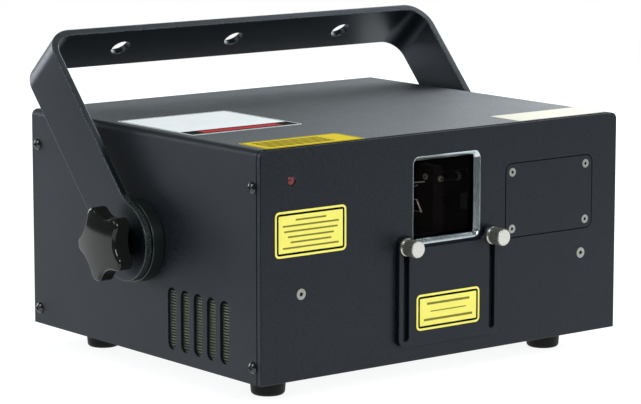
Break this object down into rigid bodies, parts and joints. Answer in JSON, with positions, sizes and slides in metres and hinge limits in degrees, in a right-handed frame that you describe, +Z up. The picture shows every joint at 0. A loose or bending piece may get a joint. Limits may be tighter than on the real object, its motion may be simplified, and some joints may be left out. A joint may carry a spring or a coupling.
{
  "type": "laser show projector",
  "caption": "Black sheet metal laser show projector with a square beam window, a sliding mask plate, side vents and a tilting U bracket clamped by star knobs.",
  "frame": {"origin": "on the floor under the middle of the whole part's box", "axes": "+Z up, the beam window looks along -Y, +X to the right seen from behind the front panel looking along +Y"},
  "size_m": [0.37, 0.2916, 0.2188],
  "materials": {
    "case_powder_coat": "fine sandy black powder coat",
    "front_powder_coat": "fine sandy black powder coat",
    "bracket_powder_coat": "satin black powder coat",
    "base_metal": "plain sheet",
    "bare_aluminium": "milled bare metal",
    "inner_aluminium": "plain milled metal",
    "black_aluminium": "black anodised",
    "nickel_steel": "nickel plated, knurled",
    "zinc_screw": "plated",
    "black_screw": "black oxide",
    "foot_rubber": "matte",
    "knob_plastic": "glossy moulded",
    "black_plastic": "moulded",
    "screen_metal": "dark wire screen",
    "window_glass": "coated optical glass",
    "lamp_red": "clear red lens",
    "brass": "plain turned",
    "optic_mirror": "coated mirror",
    "circuit_board": "solder resist",
    "supply_metal": "plain sheet",
    "steel_wire": "plated wire"
  },
  "bodies": {
    "case": {"base_plate": "base_metal", "top_cover": "case_powder_coat", "front_panel": "front_powder_coat", "rear_panel": "case_powder_coat", "corner_posts": "inner_aluminium", "panel_brackets": "inner_aluminium", "cover_screws": "black_screw", "rear_panel_screws": "black_screw", "front_panel_screws": "zinc_screw", "feet": "foot_rubber", "foot_screws": "zinc_screw", "aperture_frame": "bare_aluminium", "window_glass": "window_glass", "window_clamp": "black_aluminium", "emission_lamp": "lamp_red", "lamp_holder": "black_plastic", "access_plate": "front_powder_coat", "access_plate_screws": "zinc_screw", "thumb_inserts": "brass", "vent_screen_left": "screen_metal", "vent_screen_right": "screen_metal", "friction_disc_left": "black_plastic", "friction_disc_right": "black_plastic", "pivot_plate_left": "inner_aluminium", "pivot_plate_right": "inner_aluminium", "pivot_nuts": "brass", "optical_bench": "black_aluminium", "bench_posts": "inner_aluminium", "blue_laser_module": "black_aluminium", "green_laser_module": "black_aluminium", "red_laser_module": "black_aluminium", "optic_mounts": "black_aluminium", "combiner_optics": "optic_mirror", "scanner_block": "black_aluminium", "galvo_motor_x": "inner_aluminium", "galvo_motor_y": "inner_aluminium", "scanner_driver": "circuit_board", "power_supply": "supply_metal", "control_board": "circuit_board", "laser_driver": "circuit_board", "fan_frames": "black_plastic", "fan_guards": "steel_wire", "lock_switch": "nickel_steel", "power_sockets": "black_plastic", "data_sockets": "black_plastic", "control_ports": "nickel_steel", "safety_eye": "black_screw"},
    "bracket": {"bracket": "bracket_powder_coat"},
    "knob_left": {"knob_left": "knob_plastic", "knob_stud_left": "zinc_screw"},
    "knob_right": {"knob_right": "knob_plastic", "knob_stud_right": "zinc_screw"},
    "mask": {"mask_plate": "front_powder_coat"},
    "thumb_screw_left": {"thumb_screw_left": "nickel_steel"},
    "thumb_screw_right": {"thumb_screw_right": "nickel_steel"},
    "scan_mirror_x": {"scan_mirror_x": "optic_mirror"},
    "scan_mirror_y": {"scan_mirror_y": "optic_mirror"},
    "fan_rotor_left": {"fan_rotor_left": "black_plastic"},
    "fan_rotor_right": {"fan_rotor_right": "black_plastic"},
    "key": {"key": "nickel_steel"}
  },
  "joints": [
    {"name": "bracket_tilt", "type": "hinge", "parent": "case", "child": "bracket", "pos_m": [0, -0.0019, 0.09], "axis": [1, 0, 0], "range_deg": [-75, 159]},
    {"name": "knob_left_turn", "type": "hinge", "parent": "case", "child": "knob_left", "pos_m": [-0.175, -0.0019, 0.09], "axis": [-1, 0, 0], "range_deg": [0, 360]},
    {"name": "knob_right_turn", "type": "hinge", "parent": "case", "child": "knob_right", "pos_m": [0.175, -0.0019, 0.09], "axis": [1, 0, 0], "range_deg": [0, 360]},
    {"name": "mask_slide", "type": "slide", "parent": "case", "child": "mask", "axis": [0, 0, 1], "range_m": [0, 0.0592]},
    {"name": "thumb_left_turn", "type": "hinge", "parent": "case", "child": "thumb_screw_left", "pos_m": [-0.0363, -0.1344, 0.0908], "axis": [0, -1, 0], "range_deg": [0, 360]},
    {"name": "thumb_right_turn", "type": "hinge", "parent": "case", "child": "thumb_screw_right", "pos_m": [0.0363, -0.1344, 0.0908], "axis": [0, -1, 0], "range_deg": [0, 360]},
    {"name": "scan_x_turn", "type": "hinge", "parent": "case", "child": "scan_mirror_x", "pos_m": [0, -0.0856, 0.1049], "axis": [0, 1, 0], "range_deg": [-15, 15]},
    {"name": "scan_y_turn", "type": "hinge", "parent": "case", "child": "scan_mirror_y", "pos_m": [0, -0.0856, 0.1189], "axis": [1, 0, 0], "range_deg": [-15, 15]},
    {"name": "fan_left_spin", "type": "hinge", "parent": "case", "child": "fan_rotor_left", "pos_m": [-0.072, 0.115, 0.118], "axis": [0, 1, 0], "continuous": true},
    {"name": "fan_right_spin", "type": "hinge", "parent": "case", "child": "fan_rotor_right", "pos_m": [0.072, 0.115, 0.118], "axis": [0, 1, 0], "continuous": true},
    {"name": "key_turn", "type": "hinge", "parent": "case", "child": "key", "pos_m": [0, 0.1268, 0.09], "axis": [0, 1, 0], "range_deg": [0, 90]}
  ]
}
